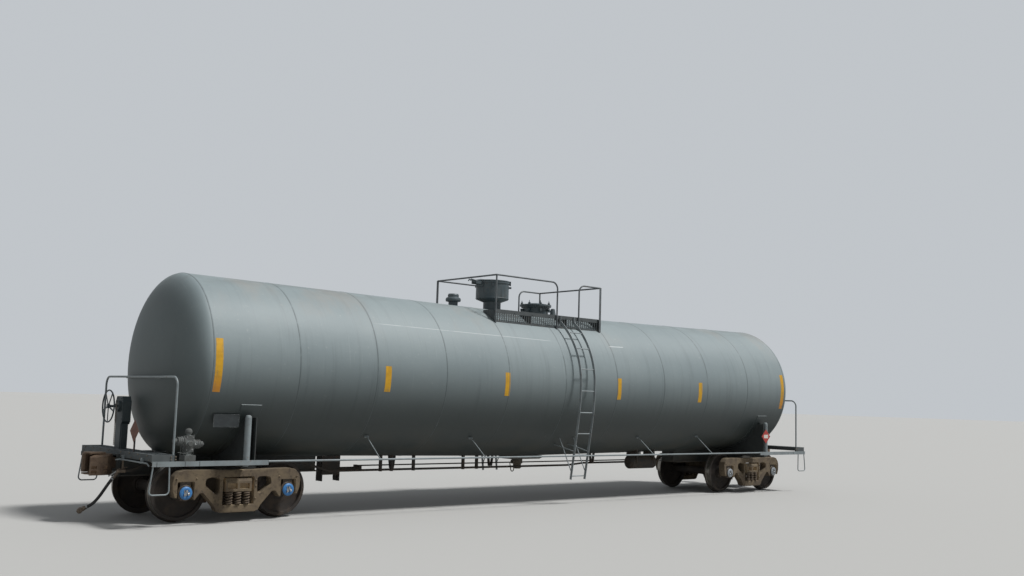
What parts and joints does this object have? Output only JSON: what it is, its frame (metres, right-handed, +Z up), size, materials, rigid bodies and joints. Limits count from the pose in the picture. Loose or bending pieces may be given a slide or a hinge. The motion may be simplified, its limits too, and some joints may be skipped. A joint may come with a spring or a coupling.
{
  "type": "railway tank car",
  "caption": "Long grey four-axle railway tank car with top walkway and housing, side ladders, end platforms, brake gear, air hoses and swivelling trucks.",
  "frame": {"origin": "on the car's centre line, midway between its ends, at the height of the lowest points of the wheel flanges", "axes": "+X along the car to its plain end, -X to its hand brake end, +Y to its left side when facing +X, +Z up"},
  "size_m": [18.071, 3.336, 4.5798],
  "materials": {
    "brake_gear": "matt, dirty",
    "gladhand_metal": "matt",
    "bearing_steel": "greasy",
    "sill_paint": "satin, dusty",
    "housing_paint": "satin",
    "hose_rubber": "matt",
    "brake_shoe": "matt",
    "valve_casting": "matt, light grey",
    "coupler_casting": "matt rust",
    "cap_grey": "satin",
    "cap_blue": "satin",
    "rail_paint": "satin",
    "stand_paint": "satin, dark",
    "valve_metal": "dull",
    "board_paint": "matt",
    "truck_casting": "matt, rusty and dusty",
    "spring_steel": "matt, dusty",
    "tank_paint": "satin, faded and streaked",
    "walkway_steel": "matt, dirty",
    "wheel_steel": "rusty plate, worn tread"
  },
  "bodies": {
    "car": {"air_reservoir": "brake_gear", "angle_cocks": "gladhand_metal", "body_bolsters": "sill_paint", "bonnet_housing": "housing_paint", "brake_cylinder": "brake_gear", "brake_hose_a": "hose_rubber", "brake_hose_b": "hose_rubber", "brake_pipe": "brake_gear", "brake_rods": "brake_gear", "control_valve": "valve_casting", "end_handrails": "rail_paint", "end_platforms": "sill_paint", "gladhand_a": "gladhand_metal", "gladhand_b": "gladhand_metal", "hand_brake": "stand_paint", "hand_brake_wheel": "stand_paint", "handrail_braces": "rail_paint", "ladder_rungs": "sill_paint", "ladder_stiles": "sill_paint", "loading_valves": "valve_metal", "manway_cover": "housing_paint", "manway_nozzle": "housing_paint", "outlet_valve": "sill_paint", "pipe_hangers": "brake_gear", "placard_boards": "board_paint", "relief_valve": "housing_paint", "side_handrails": "rail_paint", "side_sills": "rail_paint", "sill_steps": "rail_paint", "stub_sill_a": "sill_paint", "stub_sill_b": "sill_paint", "tank": "tank_paint", "tank_pads": "tank_paint", "top_handrails": "walkway_steel", "top_platform": "walkway_steel", "uncoupling_levers": "rail_paint", "vacuum_valve": "housing_paint"},
    "truck_a": {"side_frames_a": "truck_casting", "truck_bolster_a": "truck_casting", "springs_a": "spring_steel", "brake_rigging_a": "brake_shoe", "bearings_a": "bearing_steel"},
    "coupler_a_body": {"coupler_a": "coupler_casting"},
    "knuckle_a_body": {"knuckle_a": "coupler_casting"},
    "axle_a1": {"wheelset_a1": "wheel_steel", "end_caps_a1": "cap_grey"},
    "axle_a2": {"wheelset_a2": "wheel_steel", "end_caps_a2": "cap_grey"},
    "truck_b": {"side_frames_b": "truck_casting", "truck_bolster_b": "truck_casting", "springs_b": "spring_steel", "brake_rigging_b": "brake_shoe", "bearings_b": "bearing_steel"},
    "coupler_b_body": {"coupler_b": "coupler_casting"},
    "knuckle_b_body": {"knuckle_b": "coupler_casting"},
    "axle_b1": {"wheelset_b1": "wheel_steel", "end_caps_b1": "cap_blue"},
    "axle_b2": {"wheelset_b2": "wheel_steel", "end_caps_b2": "cap_blue"},
    "lid": {"bonnet_lid": "housing_paint"}
  },
  "joints": [
    {"name": "truck_a_swivel", "type": "hinge", "parent": "car", "child": "truck_a", "pos_m": [6.87, 0, 0.68], "axis": [0, 0, 1], "range_deg": [-8, 8]},
    {"name": "axle_a1_roll", "type": "hinge", "parent": "truck_a", "child": "axle_a1", "pos_m": [7.759, 0, 0.4826], "axis": [0, 1, 0], "continuous": true},
    {"name": "axle_a2_roll", "type": "hinge", "parent": "truck_a", "child": "axle_a2", "pos_m": [5.981, 0, 0.4826], "axis": [0, 1, 0], "continuous": true},
    {"name": "coupler_a_swing", "type": "hinge", "parent": "car", "child": "coupler_a_body", "pos_m": [8.06, 0, 0.902], "axis": [0, 0, 1], "range_deg": [-7, 7]},
    {"name": "knuckle_a_swing", "type": "hinge", "parent": "coupler_a_body", "child": "knuckle_a_body", "pos_m": [8.835, -0.133, 0.902], "axis": [0, 0, -1], "range_deg": [0, 40]},
    {"name": "truck_b_swivel", "type": "hinge", "parent": "car", "child": "truck_b", "pos_m": [-6.87, 0, 0.68], "axis": [0, 0, 1], "range_deg": [-8, 8]},
    {"name": "axle_b1_roll", "type": "hinge", "parent": "truck_b", "child": "axle_b1", "pos_m": [-5.981, 0, 0.4826], "axis": [0, 1, 0], "continuous": true},
    {"name": "axle_b2_roll", "type": "hinge", "parent": "truck_b", "child": "axle_b2", "pos_m": [-7.759, 0, 0.4826], "axis": [0, 1, 0], "continuous": true},
    {"name": "coupler_b_swing", "type": "hinge", "parent": "car", "child": "coupler_b_body", "pos_m": [-8.06, 0, 0.902], "axis": [0, 0, 1], "range_deg": [-7, 7]},
    {"name": "knuckle_b_swing", "type": "hinge", "parent": "coupler_b_body", "child": "knuckle_b_body", "pos_m": [-8.835, 0.133, 0.902], "axis": [0, 0, -1], "range_deg": [0, 40]},
    {"name": "lid_hinge", "type": "hinge", "parent": "car", "child": "lid", "pos_m": [-1.26, 0, 4.506], "axis": [0, -1, 0], "range_deg": [0, 100]}
  ]
}
